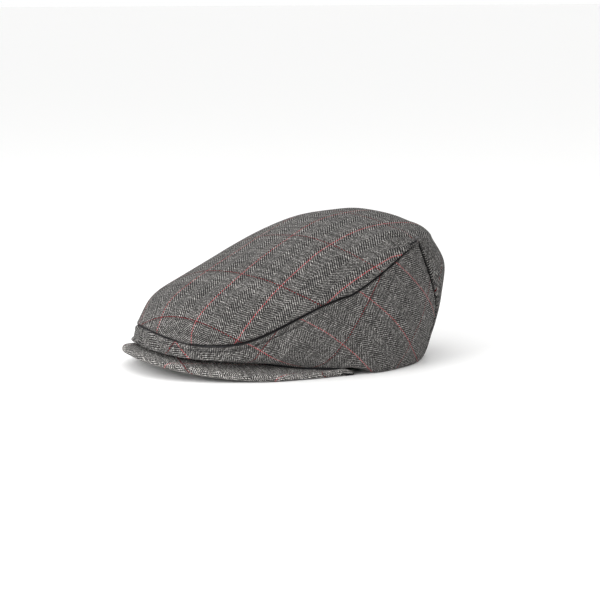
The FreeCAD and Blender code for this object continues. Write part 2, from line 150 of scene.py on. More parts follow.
def catmull(points, steps=24):
    """Dense points of the smooth curve through the given ones. points is (number, ..., 3)."""
    points = np.asarray(points, float)
    guide = np.concatenate([[2 * points[0] - points[1]], points, [2 * points[-1] - points[-2]]])
    t = np.linspace(0, 1, steps, endpoint=False).reshape((-1,) + (1,) * (points.ndim - 1))
    runs = []
    for a, b, c, d in zip(guide, guide[1:], guide[2:], guide[3:]):
        bend = (2 * a - 5 * b + 4 * c - d) * t**2
        twist = (3 * b - a - 3 * c + d) * t**3
        runs.append(b + 0.5 * ((c - a) * t + bend + twist))
    return np.concatenate(runs + [points[-1:]])


def at_shares(line, shares):
    """Points at those shares of a polyline's length."""
    lengths = np.concatenate([[0], np.cumsum(np.linalg.norm(np.diff(line, axis=0), axis=1))])
    target = np.asarray(shares) * lengths[-1]
    return np.stack([np.interp(target, lengths, line[:, k]) for k in range(3)], -1)


def crowded(count, low=0.6, high=0.6):
    """Shares from 0 to 1, closer together towards the ends by those amounts."""
    t = np.linspace(0, 1, count)
    return t - (low * (1 - t) ** 2 * t + high * t**2 * (t - 1))


def arc_lengths(grid, axis):
    """Distances along the rows (1) or the columns (0) of a grid."""
    steps = np.linalg.norm(np.diff(grid, axis=axis), axis=2)
    pad = [(0, 0), (0, 0)]
    pad[axis] = (1, 0)
    return np.cumsum(np.pad(steps, pad), axis=axis)


def normals_of(grid, smoothing=2):
    """Outward directions, averaged with their neighbours so that tight folds keep their shape."""
    n = np.cross(np.gradient(grid, axis=1), np.gradient(grid, axis=0))
    n /= np.maximum(np.linalg.norm(n, axis=2, keepdims=True), 1e-9)
    for _ in range(smoothing):
        wide = np.pad(n, ((1, 1), (1, 1), (0, 0)), mode="edge")
        upright = wide[1:-1, 1:-1] * 2 + wide[:-2, 1:-1] + wide[2:, 1:-1]
        n = (upright + wide[1:-1, :-2] + wide[1:-1, 2:]) / 6
    return n / np.maximum(np.linalg.norm(n, axis=2, keepdims=True), 1e-9)


def bump(x, centre, width):
    """1 at the centre, falling smoothly to 0 on both sides."""
    return np.exp(-(((x - centre) / width) ** 2))


def ramp(x, start, end):
    """0 up to the start, 1 from the end on, and smooth between."""
    t = np.clip((x - start) / (end - start), 0, 1)
    return t * t * (3 - 2 * t)


SHORTEST_WAVE, LONGEST_WAVE = 24, 75
WAVE_CREST = 1.4  # about how high the waves' sum reaches, once evened by their number


def ripples(p, waves, seed):
    """Soft unevenness of cloth: a sum of a few long waves through space, from -1 to 1."""
    draw = np.random.default_rng(seed)
    total = np.zeros(p.shape[:-1])
    for _ in range(waves):
        direction = draw.normal(size=3)
        direction /= np.linalg.norm(direction)
        length = draw.uniform(SHORTEST_WAVE, LONGEST_WAVE)
        total += np.sin(2 * pi * (p @ direction) / length + draw.uniform(0, 2 * pi))
    return total / waves**0.5 / WAVE_CREST


print("shares of a crowded line", crowded(5).round(2))


# %% [markdown]
# ## Woollen herringbone
# The shell is a 2/2 herringbone: each dark warp thread passes over two light weft threads and
# under two, and the slant turns round every sixteen threads. A thin red yarn runs both ways as a
# windowpane check. The pattern is worked out thread by thread from the piece's own map, which
# holds distances on the cloth in metres, so it follows the cloth round every curve. One node group
# makes it, and each panel sets how far apart the red yarns are.

# %% Small helpers for node trees


def new_group(name, inputs, outputs):
    tree = bpy.data.node_groups.new(name, "ShaderNodeTree")
    for label, kind, value in inputs:
        socket = tree.interface.new_socket(label, in_out="INPUT", socket_type="NodeSocket" + kind)
        if value is not None:
            socket.default_value = value
    for label, kind in outputs:
        tree.interface.new_socket(label, in_out="OUTPUT", socket_type="NodeSocket" + kind)
    return tree, tree.nodes.new("NodeGroupInput"), tree.nodes.new("NodeGroupOutput")


def plug(tree, socket, value):
    if isinstance(value, bpy.types.NodeSocket):
        tree.links.new(value, socket)
    elif value is not None:
        socket.default_value = value


def calc(tree, operation, a, b=None, c=None):
    node = tree.nodes.new("ShaderNodeMath")
    node.operation = operation
    for socket, value in zip(node.inputs, (a, b, c)):
        plug(tree, socket, value)
    return node.outputs[0]


def mix_colour(tree, share, a, b):
    node = tree.nodes.new("ShaderNodeMix")
    node.data_type = "RGBA"
    plug(tree, node.inputs[0], share)
    plug(tree, node.inputs[6], a)
    plug(tree, node.inputs[7], b)
    return node.outputs[2]


def noise(tree, vector, scale, detail=2.0, roughness=0.5):
    node = tree.nodes.new("ShaderNodeTexNoise")
    plug(tree, node.inputs["Vector"], vector)
    node.inputs["Scale"].default_value = scale
    node.inputs["Detail"].default_value = detail
    node.inputs["Roughness"].default_value = roughness
    return node.outputs["Fac"]


def random_by_number(tree, number):
    node = tree.nodes.new("ShaderNodeTexWhiteNoise")
    node.noise_dimensions = "1D"
    plug(tree, node.inputs["W"], number)
    return node.outputs["Value"]


def toned(tree, colour, tone):
    """A colour made lighter or darker."""
    node = tree.nodes.new("ShaderNodeVectorMath")
    node.operation = "SCALE"
    plug(tree, node.inputs[0], colour)
    plug(tree, node.inputs["Scale"], tone)
    return node.outputs[0]


def round_yarn(tree, position):
    """1 on top of a yarn and nearly 0 in the gap beside it."""
    middle = calc(tree, "SUBTRACT", calc(tree, "FRACT", position), 0.5)
    return calc(tree, "MULTIPLY_ADD", calc(tree, "MULTIPLY", middle, middle), -3.2, 1.0)


def stripe(tree, position, every, width):
    """1 on a yarn that comes round at that distance."""
    local = calc(tree, "FLOORED_MODULO", position, every)
    return calc(tree, "LESS_THAN", local, width)


# %% Node group: herringbone
THREAD = 0.00055  # metres from one yarn to the next
COLUMN = 16.0  # threads before the slant turns round
REPEAT, FLOAT = 4.0, 2.0  # a 2/2 twill repeats every four threads and floats over two
FRAY, WANDER = 0.0003, 0.0008  # how far a yarn strays, over a fibre's and a hand's width
RED_WARP_WIDTH, RED_WEFT_WIDTH = 1.3 * THREAD, THREAD
ROW_STRIDE, FLOAT_STRIDE = 57.31, 13.77  # unlike steps, so each float draws its own tone
LIGHT_YARN = (0.245, 0.236, 0.226, 1)
tree, given, result = new_group(
    "herringbone",
    [
        ("Cloth", "Vector", None),
        ("Warp check", "Float", 0.038),
        ("Weft check", "Float", 0.051),
        ("Dark yarn", "Color", (0.005, 0.005, 0.006, 1)),
        ("Light yarn", "Color", LIGHT_YARN),
        ("Red yarn", "Color", (0.4, 0.015, 0.025, 1)),
    ],
    [("Color", "Color"), ("Height", "Float")],
)
split = tree.nodes.new("ShaderNodeSeparateXYZ")
wander = noise(tree, given.outputs["Cloth"], 60.0, 1.0)
tree.links.new(given.outputs["Cloth"], split.inputs[0])
frayed = noise(tree, given.outputs["Cloth"], 1100.0, 1.0)
shaky = calc(tree, "MULTIPLY_ADD", frayed, FRAY, calc(tree, "MULTIPLY", wander, WANDER))
across = calc(tree, "ADD", shaky, split.outputs[0])
along = calc(tree, "SUBTRACT", split.outputs[1], shaky)
warp = calc(tree, "DIVIDE", across, THREAD)
weft = calc(tree, "DIVIDE", along, THREAD)
warp_number, weft_number = calc(tree, "FLOOR", warp), calc(tree, "FLOOR", weft)
column = calc(tree, "FLOOR", calc(tree, "DIVIDE", warp_number, COLUMN))
turned = calc(tree, "FLOORED_MODULO", column, 2.0)
slant = calc(tree, "MULTIPLY_ADD", turned, -2.0, 1.0)
step = calc(tree, "MULTIPLY_ADD", warp_number, slant, weft_number)
place_in_repeat = calc(tree, "FLOORED_MODULO", step, REPEAT)
warp_over = calc(tree, "LESS_THAN", place_in_repeat, FLOAT - 0.5)
weft_over = calc(tree, "SUBTRACT", 1.0, warp_over)
warp_height = calc(tree, "MULTIPLY", warp_over, round_yarn(tree, warp))
weft_height = calc(tree, "MULTIPLY", weft_over, round_yarn(tree, weft))
yarn_height = calc(tree, "ADD", warp_height, weft_height)
fibre = noise(tree, given.outputs["Cloth"], 2600.0, 2.0, 0.7)
patchy = noise(tree, given.outputs["Cloth"], 260.0, 3.0, 0.6)
warp_tone = calc(tree, "MULTIPLY_ADD", random_by_number(tree, warp_number), 0.9, 0.45)
weft_tone = calc(tree, "MULTIPLY_ADD", random_by_number(tree, weft_number), 0.75, 0.6)
gap_shade = calc(tree, "MULTIPLY_ADD", round_yarn(tree, weft), 0.85, 0.15)
float_place = calc(tree, "MULTIPLY_ADD", weft_number, slant, warp_number)
float_number = calc(tree, "FLOOR", calc(tree, "DIVIDE", float_place, FLOAT))
float_seed = calc(tree, "MULTIPLY", float_number, FLOAT_STRIDE)
fleck = random_by_number(tree, calc(tree, "MULTIPLY_ADD", weft_number, ROW_STRIDE, float_seed))
fleck_tone = calc(tree, "MULTIPLY_ADD", calc(tree, "MULTIPLY", fleck, fleck), 1.5, 0.5)
uneven = calc(tree, "MULTIPLY", calc(tree, "MULTIPLY_ADD", patchy, 1.5, 0.25), fleck_tone)
light_tone = calc(tree, "MULTIPLY", calc(tree, "MULTIPLY", weft_tone, uneven), gap_shade)
light = toned(tree, given.outputs["Light yarn"], light_tone)
dark = toned(tree, given.outputs["Dark yarn"], warp_tone)
red_warp = stripe(tree, across, given.outputs["Warp check"], RED_WARP_WIDTH)
red_weft = stripe(tree, along, given.outputs["Weft check"], RED_WEFT_WIDTH)
dark = mix_colour(tree, red_warp, dark, given.outputs["Red yarn"])
red_in_weft = toned(tree, given.outputs["Red yarn"], 0.5)
light = mix_colour(tree, red_weft, light, red_in_weft)
cloth = mix_colour(tree, warp_over, light, dark)
fibre_tone = calc(tree, "MULTIPLY_ADD", fibre, 1.5, 0.25)
plug(tree, result.inputs["Color"], toned(tree, cloth, fibre_tone))
plug(tree, result.inputs["Height"], calc(tree, "MULTIPLY_ADD", fibre, 0.5, yarn_height))
herringbone = tree
print("herringbone group", len(tree.nodes), "nodes")

# %% Tweed materials


def shader(name, rough=0.9):
    material = bpy.data.materials.new(name)
    material.use_nodes = True
    principled = material.node_tree.nodes["Principled BSDF"]
    principled.inputs["Roughness"].default_value = rough
    return material, material.node_tree, principled


def add_bump(tree, principled, height, distance, strength=1.0):
    node = tree.nodes.new("ShaderNodeBump")
    node.inputs["Distance"].default_value = distance
    node.inputs["Strength"].default_value = strength
    tree.links.new(height, node.inputs["Height"])
    tree.links.new(node.outputs["Normal"], principled.inputs["Normal"])


def cloth_map(tree):
    node = tree.nodes.new("ShaderNodeUVMap")
    node.uv_map = "UVMap"
    return node.outputs["UV"]


SEAM_DARK = (0.006, 0.006, 0.007, 1)  # the shadow inside a seam
# painted light: the peak's light yarn is lighter than the crown's, to brighten the peak where the
# crown's shadow falls
PEAK_YARN_PAINTED_LIGHTER = (0.4, 0.386, 0.368, 1)


def tweed(name, warp_check, weft_check, light=LIGHT_YARN):
    """The shell's cloth, with its red yarns that far apart, in metres."""
    material, tree, principled = shader(name, 0.92)
    weave = tree.nodes.new("ShaderNodeGroup")
    weave.node_tree = herringbone
    plug(tree, weave.inputs["Cloth"], cloth_map(tree))
    weave.inputs["Warp check"].default_value = warp_check
    weave.inputs["Weft check"].default_value = weft_check
    weave.inputs["Light yarn"].default_value = light
    seam = tree.nodes.new("ShaderNodeAttribute")
    seam.attribute_name = "seam_shade"
    shaded = mix_colour(tree, seam.outputs["Fac"], weave.outputs["Color"], SEAM_DARK)
    plug(tree, principled.inputs["Base Color"], shaded)
    principled.inputs["Sheen Weight"].default_value = 0.03
    principled.inputs["Sheen Roughness"].default_value = 0.45
    principled.inputs["Sheen Tint"].default_value = (0.9, 0.9, 0.92, 1)
    principled.inputs["Specular IOR Level"].default_value = 0.1
    add_bump(tree, principled, weave.outputs["Height"], 0.00022, 0.9)
    return material


tweed_top = tweed("tweed_of_the_top", 0.0372, 0.055)
tweed_side = tweed("tweed_of_the_sides", 0.0444, 0.061)
# the peak's tweed is the crown's cloth with painted light: its light yarn is made lighter
tweed_peak_painted_lighter = tweed("tweed_of_the_peak_painted_lighter", 0.064, 0.083, PEAK_YARN_PAINTED_LIGHTER)
print("tweeds", tweed_top.name, tweed_side.name, tweed_peak_painted_lighter.name)

# %% [markdown]
# ## Cloth pieces
# Every panel starts as a flat grid, like cloth on the cutting table. Its points are then laid on
# the block, its map is set to distances along the cloth, and a Solidify modifier gives it the
# thickness of the tweed. The edges dive under at the seams, as turned cloth does.

# %% From a flat grid to a cloth piece
SHELL, UNDER_COVER, PLY = 1.3, 1.2, 0.4  # thickness of the tweed and of canvas or satin
TABLE_GAP = 0.0001  # metres that a cloth's outside keeps above the table


def only(obj):
    bpy.ops.object.select_all(action="DESELECT")
    obj.select_set(True)
    bpy.context.view_layer.objects.active = obj


def flat_grid(name, rows, columns):
    bpy.ops.object.select_all(action="DESELECT")
    bpy.ops.mesh.primitive_grid_add(x_subdivisions=columns - 1, y_subdivisions=rows - 1, size=2.0)
    obj = bpy.context.object
    obj.name = name
    obj.data.name = name
    return obj


def thicken(obj, thickness):
    only(obj)
    bpy.ops.object.modifier_add(type="SOLIDIFY")
    wall = obj.modifiers[-1]
    wall.thickness = thickness
    wall.offset = -1
    wall.use_even_offset = False
    bpy.ops.object.modifier_apply(modifier=wall.name)


def lay(name, grid, cloth, material, thickness, shade=None):
    """A piece of cloth on a grid of points in millimetres, rows by columns. cloth holds each
    point's place on the uncut cloth, in millimetres, and shade how deep it lies in a seam, from 0
    to 1. Its outside is where the grid's normals point."""
    rows, columns = grid.shape[:2]
    obj = flat_grid(name, rows, columns)
    mesh = obj.data
    flat = np.zeros(len(mesh.vertices) * 3)
    mesh.vertices.foreach_get("co", flat)
    flat = flat.reshape(-1, 3)
    j = np.rint((flat[:, 0] + 1) / 2 * (columns - 1)).astype(int)
    i = np.rint((flat[:, 1] + 1) / 2 * (rows - 1)).astype(int)
    points = grid[i, j] / 1000
    points[:, 2] = np.maximum(points[:, 2], TABLE_GAP)
    mesh.vertices.foreach_set("co", points.astype(np.float32).ravel())
    loops = np.zeros(len(mesh.loops), int)
    mesh.loops.foreach_get("vertex_index", loops)
    places = (cloth[i, j][loops] / 1000).astype(np.float32)
    mesh.uv_layers[0].data.foreach_set("uv", places.ravel())
    mesh.update()
    attribute = mesh.attributes.new("seam_shade", "FLOAT", "POINT")
    depth = np.zeros(len(i)) if shade is None else shade[i, j]
    attribute.data.foreach_set("value", depth.astype(np.float32))
    thicken(obj, thickness / 1000)
    mesh.materials.append(material)
    only(obj)
    bpy.ops.object.shade_smooth()
    print(name, len(mesh.vertices), "points")
    return obj


# %% [markdown]
# ## Top panel
# One large piece covers the crown from above the peak right down to the nape. Its seams turn under,
# the cloth rises a little beside them, and near the back corners it shows faint drag lines.

# %% Where the top panel lies
FRONT_EDGE = radians(30.0)  # the front edge runs this far to each side of the middle
CENTRE_LINE = [(-121, 56), (-95, 71), (-48, 93.5), (0, 113), (42, 117.6), (78, 111.5)]
BACK_ROUND = (0, 112.5, 78)  # where the back is fullest
SIDE_TURN = radians(87.0)  # how far the cloth has turned down at its side edges
FRONT_BLEND = 0.35  # share of the length in which the rows ease away from the front edge


def top_surface(over_rows, down_rows, columns, steps=40):
    """Rows from the front edge over the crown, and then down the back to the hem."""
    nape = np.array([pi])
    crest = [seam_hoop(np.array([0.0]))[0]] + [(0, y, z) for y, z in CENTRE_LINE]
    behind = [hoop(nape)[0] for hoop in (bulge_hoop, fold_hoop, hem)]
    dense = catmull(crest + [seam_hoop(nape)[0], BACK_ROUND] + behind, steps)
    meet = steps * len(crest)
    seam = seam_hoop(np.linspace(FRONT_EDGE, CORNER, 400))
    back = [hoop(angle) for hoop, angle in zip(HOOPS, BACK_ANGLES)]
    back_seam = catmull(np.array(back)[::-1], steps)
    over, down = crowded(over_rows, 0.88, 0.0), crowded(down_rows, 0.0, 0.8)
    crown_row, nape_row = at_shares(dense[: meet + 1], over), at_shares(dense[meet:], down)
    middles = np.concatenate([crown_row, nape_row[1:]])
    ends = np.concatenate([at_shares(seam, over), at_shares(back_seam, down)[1:]])
    across = crowded(columns, 0.9, 0.9) * 2 - 1
    drop = (1 - np.cos(SIDE_TURN * across)) / (1 - cos(SIDE_TURN))
    grid = middles[:, None] + (ends - middles)[:, None] * drop[None, :, None]
    grid[..., 0] = ends[:, None, 0] * np.sin(SIDE_TURN * across) / sin(SIDE_TURN)
    fade = np.zeros(len(middles))
    fade[:over_rows] = np.clip(1 - over / FRONT_BLEND, 0, 1) ** 2
    shift = seam_hoop(FRONT_EDGE * across) - grid[0]
    return grid + fade[:, None, None] * shift[None]


top_block = top_surface(over_rows=150, down_rows=62, columns=171)
print("top of the crown, mm", top_block[..., 2].max().round(1))

# %% Cloth beside a seam
SEAM_DEPTH = 2.6  # how deep an edge dives into its seam
WELT, WELT_AT = 0.35, 3.2  # how much it stands out beside the seam, and where
EDGE_ROLL = 0.9  # how far a hem's edge rolls under, and over what width
SHADOW_REACH = 1.1  # width of the dark line along a seam
TURN_REACH, TURN_FADE = 7.0, 0.95  # seams lie flat round the points where they turn a corner


def shear(u, v, warp_angle, warp_start, weft_angle, weft_start):
    """Places on the uncut cloth: across the warp and along it, from distances over the panel."""
    a, b = radians(warp_angle), radians(weft_angle)
    across, along = u * cos(a) + v * sin(a), v * cos(b) - u * sin(b)
    return np.stack([across - warp_start, along - weft_start], -1)


def edge_profile(distance):
    """How far cloth stands out beside a seam that it dives into."""
    return -SEAM_DEPTH * np.exp(-(distance**1.6)) + WELT * bump(distance, WELT_AT, 1.8)


def seam_shadow(distance, reach=SHADOW_REACH):
    """1 in the seam, and next to nothing beyond its reach."""
    return np.exp(-((distance / reach) ** 3))


def calm_turns(profile, grid, turns):
    """The profile, faded out where a seam turns a corner."""
    for turn in turns:
        reach = np.linalg.norm(grid - seam_hoop(np.array([turn]))[0], axis=2)
        profile = profile * (1 - TURN_FADE * bump(reach, 0, TURN_REACH))
    return profile


print("a seam's depth, mm", -edge_profile(np.zeros(1))[0].round(2))

# %% Top panel's shape
SOFT_LIFT, FAN_LIFT, DRAG_LIFT = 0.55, 0.7, 0.8  # unevenness, and folds from the back corners
u, v = arc_lengths(top_block, 1), arc_lengths(top_block, 0)
half = u[:, -1:] / 2
u = u - half
level = np.array([np.polyval(np.polyfit(a, b, 4), a) for a, b in zip(u / half, v)])
to_side, to_front, to_hem = half - np.abs(u), v, v[-1:] - v
to_edge = np.minimum(to_side, to_front)
profile = edge_profile(to_edge) - EDGE_ROLL * bump(to_hem, 0, EDGE_ROLL)
profile = calm_turns(profile, top_block, (CORNER, -CORNER, FRONT_EDGE, -FRONT_EDGE))
profile *= 1 - 0.6 * bump(to_front, 0, 8)
lift = SOFT_LIFT * ripples(top_block, 9, 4) * ramp(to_side, 4, 25) * ramp(to_front, 4, 25)
for point in seam_hoop(np.array([CORNER, -CORNER])):
    away = top_block - point
    reach = np.linalg.norm(away, axis=2)
    fan = np.arctan2(away[..., 2], np.abs(away[..., 0]) + 1e-6)
    lift += FAN_LIFT * np.sin(fan * 5 + 0.6) * bump(reach, 26, 16)
    drag = bump(away[..., 2] - 8 - 0.1 * away[..., 1], 0, 3.0)
    lift += DRAG_LIFT * drag * bump(away[..., 1], -24, 18)
grid = top_block + normals_of(top_block) * (profile + lift)[..., None]
print("lift beside the seams, mm", lift.min().round(2), lift.max().round(2))

# %% Top panel
u = arc_lengths(grid, 1)
u = u - u[:, -1:] / 2
cloth = shear(u, level, warp_angle=14.5, warp_start=22.9, weft_angle=24.0, weft_start=3.5)
top_panel = lay("top_panel_cloth", grid, cloth, tweed_top, SHELL, seam_shadow(to_edge))
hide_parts("top_panel")
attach(top_panel, "crown")

# %% [markdown]
# ## Side panels
# Each side runs from the centre front to the back seam and is cut on the bias, so its herringbone
# lies across the other way. Its lower part rolls under the crown and runs back to the hem. The
# seam's allowance is pressed down below the seam and shows as a flat ridge along the front half.

# %% Where a side panel lies
SIDE_ROWS, SIDE_COLUMNS = 131, 261


def side_surface(rows, columns, steps=30):
    """Rows from the hem up to the top seam, and each column's length from the hem to the fold."""
    run = crowded(columns, 0.8, 0.9)
    hoops = [hoop(run * end) for hoop, end in zip(HOOPS, BACK_ANGLES)]
    dense = catmull(np.array(hoops), steps)
    shares = crowded(rows, 0.7, 0.88)
    below_fold = np.linalg.norm(np.diff(dense[: steps + 1], axis=0), axis=2).sum(axis=0)
    return np.stack([at_shares(dense[:, k], shares) for k in range(columns)], 1), below_fold


def right_side(surface):
    """The mirror image, its columns turned round so that its outside stays outside."""
    return surface[:, ::-1] * np.array([-1, 1, 1])


side_block, below_fold = side_surface(SIDE_ROWS, SIDE_COLUMNS)
print("longest way from hem to fold, mm", below_fold.max().round(1))

# %% Side panel's shape
RIDGE_AT, RIDGE_FOOT = 2.6, 5.2  # distances below the top seam
along_row, up = arc_lengths(side_block, 1), arc_lengths(side_block, 0)
to_seam, to_back, to_front = up[-1:] - up, along_row[:, -1:] - along_row, along_row
to_edge = np.minimum(to_seam, to_back)
profile = edge_profile(to_edge) - 0.5 * bump(to_front, 0, 0.8) - EDGE_ROLL * bump(up, 0, EDGE_ROLL)
profile = calm_turns(profile, side_block, (CORNER, FRONT_EDGE))
place = np.linspace(0, 1, SIDE_COLUMNS)[None]
ridge_here = ramp(place, 0.12, 0.24) * (1 - ramp(place, 0.5, 0.62))
shade = seam_shadow(to_edge) + 0.6 * bump(to_seam, RIDGE_FOOT, 0.55) * ridge_here
shade = np.clip(shade + 0.8 * seam_shadow(to_front, 0.7), 0, 1)
ridge = 0.9 * bump(to_seam, RIDGE_AT, 1.5) - 0.75 * bump(to_seam, RIDGE_FOOT, 0.7)
ridge = ridge * ridge_here
pucker = 0.22 * np.sin(2 * pi * up / 7.5 + 0.8 * np.sin(up / 9)) * bump(to_back, 3.0, 4.5)
waves = 0.2 * np.sin(2 * pi * along_row / 9.0)
pucker += waves * bump(to_seam, 4.0, 4.0) * ramp(place, 0.6, 0.7)
calm = ramp(place, 0.1, 0.34)
profile *= 0.4 + 0.6 * calm
ridge *= calm
softness = 0.7 * ripples(side_block, 9, 11) * ramp(to_seam, 4, 22)
softness = softness * ramp(to_back, 3, 18) * ramp(to_front, 25, 90)
relief = profile + ridge + pucker + softness
grid_left = side_block + normals_of(side_block) * relief[..., None]
print("relief of the sides, mm", relief.min().round(2), relief.max().round(2))

# %% Side panels
along_row, up = arc_lengths(grid_left, 1), arc_lengths(grid_left, 0)
temple = np.array([np.interp(0, row[:, 1], at) for row, at in zip(side_block, along_row)])
cloth_left = shear(
    along_row - temple[:, None],
    up - below_fold,
    warp_angle=46.5,
    warp_start=-43.8,
    weft_angle=58.0,
    weft_start=9.8,
)
cloth_right = cloth_left[:, ::-1] * np.array([-1, 1])
for name, surface, cloth, dark in (
    ("left", grid_left, cloth_left, shade),
    ("right", right_side(grid_left), cloth_right, shade[:, ::-1]),
):
    panel = lay(f"{name}_side_cloth", surface, cloth, tweed_side, SHELL, dark)
    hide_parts(f"{name}_side_panel")
    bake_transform(panel)

# %% [markdown]
# ## Peak
# The peak is a thin stiff crescent, arched across the forehead. The upper cover runs over the edge
# and a finger's width under it, and the under cover closes the rest.

# %% Peak covers
PEAK_EDGE = (91.5, 148.0, 1.0)
PEAK_THICKNESS = 6.0
PEAK_END = radians(93.0)
TUCK, TUCK_START, TUCK_END = 0.028, radians(80), radians(91)  # the ends draw in behind the sides
TAPER_START, TAPER_SPAN = radians(68), radians(22)  # where the crescent narrows to its ends
THIN_START = radians(87)  # where the ends grow thin and sink


def peak_plan(share, angle, inward=0.0):
    rx, ry = outline([side + 0.5 for side in HEM], 1.0, angle)
    ex, ey = outline([PEAK_EDGE[0] - inward, PEAK_EDGE[1] - inward, 96.5], FRONT_SQUARENESS, angle)
    tucked = 1 - TUCK * ramp(np.abs(angle), TUCK_START, TUCK_END)
    rx, ry = rx * tucked, ry * tucked
    taper = np.clip((np.abs(angle) - TAPER_START) / TAPER_SPAN, 0, 0.97)
    narrow = np.where(np.abs(angle) > TAPER_START, 0.5 + 0.5 * np.cos(pi * taper), 1.0)
    return rx + (ex - rx) * share * narrow, ry + (ey - ry) * share * narrow


def peak_rows(sections, angle):
    """Rows of points across the peak. A section is its share, inward and depth below the top."""
    rows = []
    for share, inward, depth in sections:
        x, y = peak_plan(share, angle, inward)
        near_end = ramp(np.abs(angle), THIN_START, PEAK_END)
        thin = 1 - 0.5 * near_end
        ceiling = hem_height(y) - 0.6 - 2.0 * near_end
        z = np.minimum(peak_top(x), ceiling) - depth * thin
        rows.append(np.stack([x, y, np.maximum(z, 0.62 + 0.02 * depth)], -1))
    return np.array(rows)


angle = np.linspace(PEAK_END, -PEAK_END, 241)
turn = PEAK_THICKNESS / 2
sections = [(s, turn, 0.0) for s in np.linspace(0, 1, 30)[:-1]]
for swing in np.linspace(0, pi, 15):
    sections.append((1.0, turn - turn * sin(swing), turn - turn * cos(swing)))
for s in np.linspace(1, 0.8, 7)[1:]:
    sections.append((s, turn, PEAK_THICKNESS))
grid = peak_rows(sections, angle)
u = arc_lengths(grid, 1)
u = u[:, 120:121] - u
v = arc_lengths(grid, 0)
surface = grid - normals_of(grid) * (0.3 * ripples(grid, 6, 8) * ramp(v, 2, 12))[..., None]
cloth = shear(u, v, warp_angle=32.0, warp_start=4.0, weft_angle=28.0, weft_start=8.0)
upper = lay("peak_upper_cloth", surface, cloth, tweed_peak_painted_lighter, SHELL)
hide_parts("peak_top_cover")
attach(upper, "head_ring")

sections = [(s, turn, PEAK_THICKNESS - 0.15) for s in np.linspace(0.83, 0, 20)]
grid = peak_rows(sections, angle)
cloth = np.stack([arc_lengths(grid, 1), arc_lengths(grid, 0)], -1)
under = lay("peak_under_cloth", grid, cloth, tweed_peak_painted_lighter, UNDER_COVER)
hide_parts("peak_under_cover")
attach(under, "head_ring")

# %% [markdown]
# ## Finishes of the inside
# The lining is a dark twill satin, the sweatband and tapes are ribbed cotton, the interlining is an
# open canvas. All of them are the same idea at another scale: threads one way, threads the other,
# and a little unevenness. So one group makes them, and each material gives its own numbers.

# %% Node group: plain threads
tree, given, result = new_group(
    "plain_threads",
    [
        ("Cloth", "Vector", None),
        ("Rib", "Float", 0.001),
        ("Pick", "Float", 0.0005),
        ("Thread", "Color", (0.02, 0.02, 0.022, 1)),
    ],
    [("Color", "Color"), ("Height", "Float"), ("Roughness", "Float")],
)
split = tree.nodes.new("ShaderNodeSeparateXYZ")
tree.links.new(given.outputs["Cloth"], split.inputs[0])
rib = calc(tree, "DIVIDE", split.outputs[0], given.outputs["Rib"])
half_step = calc(tree, "MULTIPLY", calc(tree, "FLOOR", rib), 0.5)
picks = calc(tree, "DIVIDE", split.outputs[1], given.outputs["Pick"])
pick = calc(tree, "ADD", picks, half_step)
rib_height = calc(tree, "MULTIPLY", round_yarn(tree, rib), 0.65)
profile_height = calc(tree, "MULTIPLY_ADD", round_yarn(tree, pick), 0.35, rib_height)
uneven = noise(tree, given.outputs["Cloth"], 900.0, 3.0, 0.6)
# painted shade: darker in the gaps between ribs and picks, where the yarns dip down; tone also
# takes random unevenness
painted_gap_shade = calc(tree, "MULTIPLY_ADD", profile_height, 0.7, 0.4)
tone = calc(tree, "MULTIPLY", painted_gap_shade, calc(tree, "MULTIPLY_ADD", uneven, 1.0, 0.5))
plug(tree, result.inputs["Color"], toned(tree, given.outputs["Thread"], tone))
plug(tree, result.inputs["Height"], calc(tree, "MULTIPLY_ADD", uneven, 0.2, profile_height))
plug(tree, result.inputs["Roughness"], calc(tree, "MULTIPLY_ADD", uneven, 0.3, 0.35))
plain_threads = tree
print("plain threads group", len(tree.nodes), "nodes")

# %% Cotton, satin and canvas


def threads(name, thread, rib, pick, depth, sheen=0.1, rough_from_weave=True, specular=0.3):
    material, tree, principled = shader(name, 0.8)
    weave = tree.nodes.new("ShaderNodeGroup")
    weave.node_tree = plain_threads
    plug(tree, weave.inputs["Cloth"], cloth_map(tree))
    for label, value in (("Rib", rib), ("Pick", pick), ("Thread", (*thread, 1))):
        weave.inputs[label].default_value = value
    plug(tree, principled.inputs["Base Color"], weave.outputs["Color"])
    if rough_from_weave:
        plug(tree, principled.inputs["Roughness"], weave.outputs["Roughness"])
    principled.inputs["Sheen Weight"].default_value = sheen
    principled.inputs["Specular IOR Level"].default_value = specular
    add_bump(tree, principled, weave.outputs["Height"], depth, 0.8)
    return material


satin = threads("lining_satin", (0.03, 0.03, 0.035), 0.0009, 0.00022, 0.00004, 0.15, True, 0.55)
cotton = threads("band_cotton", (0.022, 0.022, 0.024), 0.0014, 0.0004, 0.0002, 0.2, False)
grosgrain = threads("ribbon_grosgrain", (0.05, 0.05, 0.055), 0.0004, 0.0011, 0.00015, 0.2)
tape_cotton = threads("tape_cotton", (0.03, 0.03, 0.032), 0.0006, 0.0006, 0.0001, 0.1, False)
canvas = threads("canvas_fused", (0.42, 0.4, 0.36), 0.0011, 0.0011, 0.00015, 0.0, False)
label_damask = threads("label_damask", (0.11, 0.11, 0.12), 0.0003, 0.0003, 0.00005, 0.2)
label_border = threads("label_border", (0.3, 0.3, 0.31), 0.0003, 0.0003, 0.00005, 0.2)
thread_cotton = threads("sewing_thread", (0.12, 0.12, 0.125), 0.0004, 0.0002, 0.00005, 0.0, False)
print("cloth materials", len(bpy.data.materials))

# %% Felt, board and stud metal


